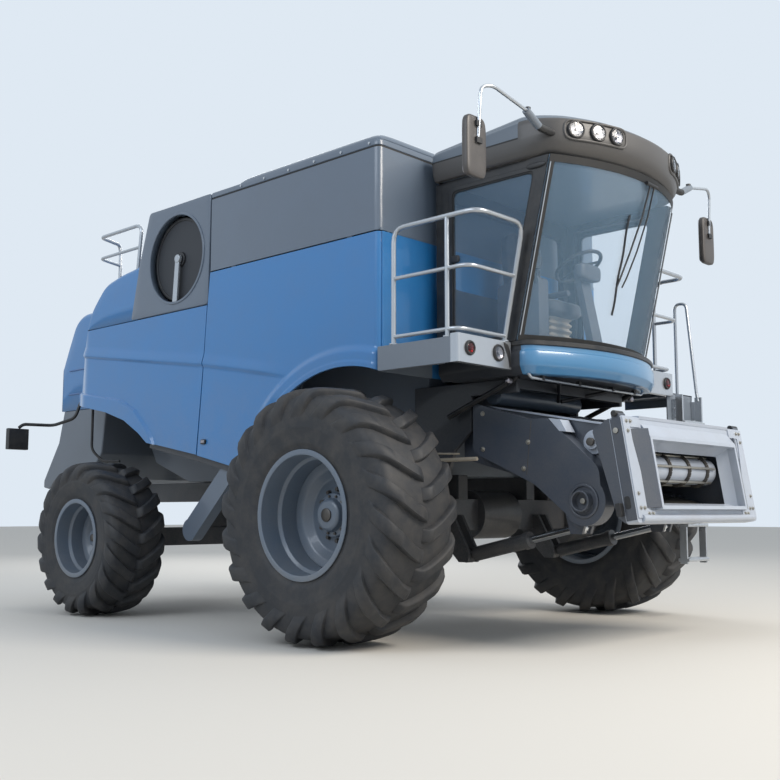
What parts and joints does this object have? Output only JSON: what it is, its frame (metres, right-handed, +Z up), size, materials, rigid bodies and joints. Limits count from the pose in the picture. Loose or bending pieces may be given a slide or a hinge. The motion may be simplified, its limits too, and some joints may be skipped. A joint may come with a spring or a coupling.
{
  "type": "combine harvester",
  "caption": "Self-propelled combine harvester without its header: cab, grain tank, feeder house, folded unloading auger, straw hood and steered rear wheels.",
  "frame": {"origin": "on the ground, midway between the machine's front and rear ends and between its sides", "axes": "+X points forward, +Y to the machine's left, +Z up"},
  "size_m": [7.5358, 4.42, 3.995],
  "materials": {
    "body_blue": "gloss",
    "body_grey": "gloss",
    "chassis_dark": "satin",
    "shoe_beige": "satin",
    "rim_grey": "satin",
    "silver_paint": "satin",
    "slate_paint": "satin",
    "tyre": "matte",
    "glass": "polished",
    "lamp_glass": "polished",
    "black_trim": "matte",
    "seat_cloth": "matte",
    "engine_iron": "rough",
    "chrome": "polished",
    "steel": "brushed"
  },
  "bodies": {
    "body": {"chassis": "chassis_dark", "separator": "shoe_beige", "front_axle": "chassis_dark", "rear_axle": "chassis_dark", "grain_tank": "body_grey", "front_wall": "body_blue", "engine": "engine_iron", "cooler_housing": "body_grey", "engine_hood": "body_blue", "straw_hood": "body_blue", "straw_chopper": "slate_paint", "deck_railing": "silver_paint", "rear_lamps": "black_trim", "elevators": "body_grey", "cab_frame": "black_trim", "cab_roof": "body_grey", "roof_lamps": "lamp_glass", "windshield": "glass", "side_window": "glass", "seat": "seat_cloth", "steering": "black_trim", "mirrors": "black_trim", "platform_right": "silver_paint", "platform_left": "silver_paint", "handrails": "silver_paint", "ladder": "silver_paint", "auger_turret": "body_grey"},
    "wheel_front_right": {"tyre_front_right": "tyre", "rim_front_right": "rim_grey"},
    "wheel_front_left": {"tyre_front_left": "tyre", "rim_front_left": "rim_grey"},
    "wheel_rear_right": {"tyre_rear_right": "tyre", "rim_rear_right": "rim_grey"},
    "wheel_rear_left": {"tyre_rear_left": "tyre", "rim_rear_left": "rim_grey"},
    "knuckle_right": {"knuckle_right": "chassis_dark"},
    "knuckle_left": {"knuckle_left": "chassis_dark"},
    "tie_rod": {"tie_rod": "chassis_dark"},
    "panel_front_right": {"panel_front_right": "body_blue"},
    "panel_front_left": {"panel_front_left": "body_blue"},
    "panel_rear_right": {"panel_rear_right": "body_blue"},
    "panel_rear_left": {"panel_rear_left": "body_blue"},
    "lid_right": {"lid_right": "body_grey"},
    "lid_left": {"lid_left": "body_grey"},
    "screen": {"rotary_screen": "black_trim"},
    "door": {"cab_door": "glass"},
    "feeder": {"feeder_house": "slate_paint", "feeder_covers": "slate_paint", "faceplate": "silver_paint"},
    "drum": {"feeder_drum": "steel"},
    "lift_barrel_right": {"lift_barrel_right": "chassis_dark"},
    "lift_barrel_left": {"lift_barrel_left": "chassis_dark"},
    "lift_rod_right": {"lift_rod_right": "chrome"},
    "lift_rod_left": {"lift_rod_left": "chrome"},
    "auger": {"unloading_auger": "body_blue"}
  },
  "joints": [
    {"name": "spin_front_right", "type": "hinge", "parent": "body", "child": "wheel_front_right", "pos_m": [1.705, -1.83, 0.95], "axis": [0, 1, 0], "continuous": true},
    {"name": "spin_front_left", "type": "hinge", "parent": "body", "child": "wheel_front_left", "pos_m": [1.705, 1.83, 0.95], "axis": [0, 1, 0], "continuous": true},
    {"name": "steer_right", "type": "hinge", "parent": "body", "child": "knuckle_right", "pos_m": [-1.625, -1.3, 0.727], "axis": [0, 0, 1], "range_deg": [-30, 30]},
    {"name": "steer_left", "type": "hinge", "parent": "body", "child": "knuckle_left", "pos_m": [-1.625, 1.3, 0.727], "axis": [0, 0, 1], "range_deg": [-30, 30]},
    {"name": "tie_turn", "type": "hinge", "parent": "knuckle_right", "child": "tie_rod", "pos_m": [-1.855, -1.3, 0.767], "axis": [0, 0, 1], "range_deg": [-30, 30]},
    {"name": "spin_rear_right", "type": "hinge", "parent": "knuckle_right", "child": "wheel_rear_right", "pos_m": [-1.625, -1.755, 0.727], "axis": [0, 1, 0], "continuous": true},
    {"name": "spin_rear_left", "type": "hinge", "parent": "knuckle_left", "child": "wheel_rear_left", "pos_m": [-1.625, 1.755, 0.727], "axis": [0, 1, 0], "continuous": true},
    {"name": "feeder_lift", "type": "hinge", "parent": "body", "child": "feeder", "pos_m": [2.105, 0, 1.7], "axis": [0, 1, 0], "range_deg": [-5, 20]},
    {"name": "drum_spin", "type": "hinge", "parent": "feeder", "child": "drum", "pos_m": [3.465, 0, 1.29], "axis": [0, 1, 0], "continuous": true},
    {"name": "lift_barrel_right", "type": "hinge", "parent": "body", "child": "lift_barrel_right", "pos_m": [2.005, -0.6, 0.62], "axis": [0, 1, 0], "range_deg": [-5, 17]},
    {"name": "lift_rod_right", "type": "slide", "parent": "lift_barrel_right", "child": "lift_rod_right", "axis": [0.9758, 0, 0.2189], "range_m": [-0.372, 0.0945]},
    {"name": "lift_barrel_left", "type": "hinge", "parent": "body", "child": "lift_barrel_left", "pos_m": [2.005, 0.6, 0.62], "axis": [0, 1, 0], "range_deg": [-5, 17]},
    {"name": "lift_rod_left", "type": "slide", "parent": "lift_barrel_left", "child": "lift_rod_left", "axis": [0.9758, 0, 0.2189], "range_m": [-0.372, 0.0945]},
    {"name": "auger_swing", "type": "hinge", "parent": "body", "child": "auger", "pos_m": [1.105, 1.8, 3.605], "axis": [0, 0, -1], "range_deg": [0, 100]},
    {"name": "door_swing", "type": "hinge", "parent": "body", "child": "door", "pos_m": [2.109, 0.964, 2.9], "axis": [0, 0, 1], "range_deg": [0, 85]},
    {"name": "screen_spin", "type": "hinge", "parent": "body", "child": "screen", "pos_m": [-0.755, -1.5, 3.37], "axis": [0, 1, 0], "continuous": true},
    {"name": "lid_right_lift", "type": "hinge", "parent": "body", "child": "lid_right", "pos_m": [1.005, -1.52, 3.9003], "axis": [1, 0, 0], "range_deg": [0, 80]},
    {"name": "lid_left_lift", "type": "hinge", "parent": "body", "child": "lid_left", "pos_m": [1.005, 1.52, 3.9003], "axis": [-1, 0, 0], "range_deg": [0, 80]},
    {"name": "panel_front_right_lift", "type": "hinge", "parent": "body", "child": "panel_front_right", "pos_m": [0.805, -1.56, 3.156], "axis": [-1, 0, 0], "range_deg": [0, 60]},
    {"name": "panel_front_left_lift", "type": "hinge", "parent": "body", "child": "panel_front_left", "pos_m": [0.805, 1.56, 3.156], "axis": [1, 0, 0], "range_deg": [0, 60]},
    {"name": "panel_rear_right_lift", "type": "hinge", "parent": "body", "child": "panel_rear_right", "pos_m": [-1.295, -1.56, 2.856], "axis": [-1, 0, 0], "range_deg": [0, 60]},
    {"name": "panel_rear_left_lift", "type": "hinge", "parent": "body", "child": "panel_rear_left", "pos_m": [-1.295, 1.56, 2.856], "axis": [1, 0, 0], "range_deg": [0, 60]}
  ],
  "couplings": [
    {"joint": "steer_left", "follows": "steer_right", "ratio": 1},
    {"joint": "tie_turn", "follows": "steer_right", "ratio": -1},
    {"joint": "lift_barrel_right", "follows": "feeder_lift", "ratio": 0.76},
    {"joint": "lift_rod_right", "follows": "feeder_lift", "m_per_rad": -1.06},
    {"joint": "lift_barrel_left", "follows": "feeder_lift", "ratio": 0.76},
    {"joint": "lift_rod_left", "follows": "feeder_lift", "m_per_rad": -1.06}
  ]
}
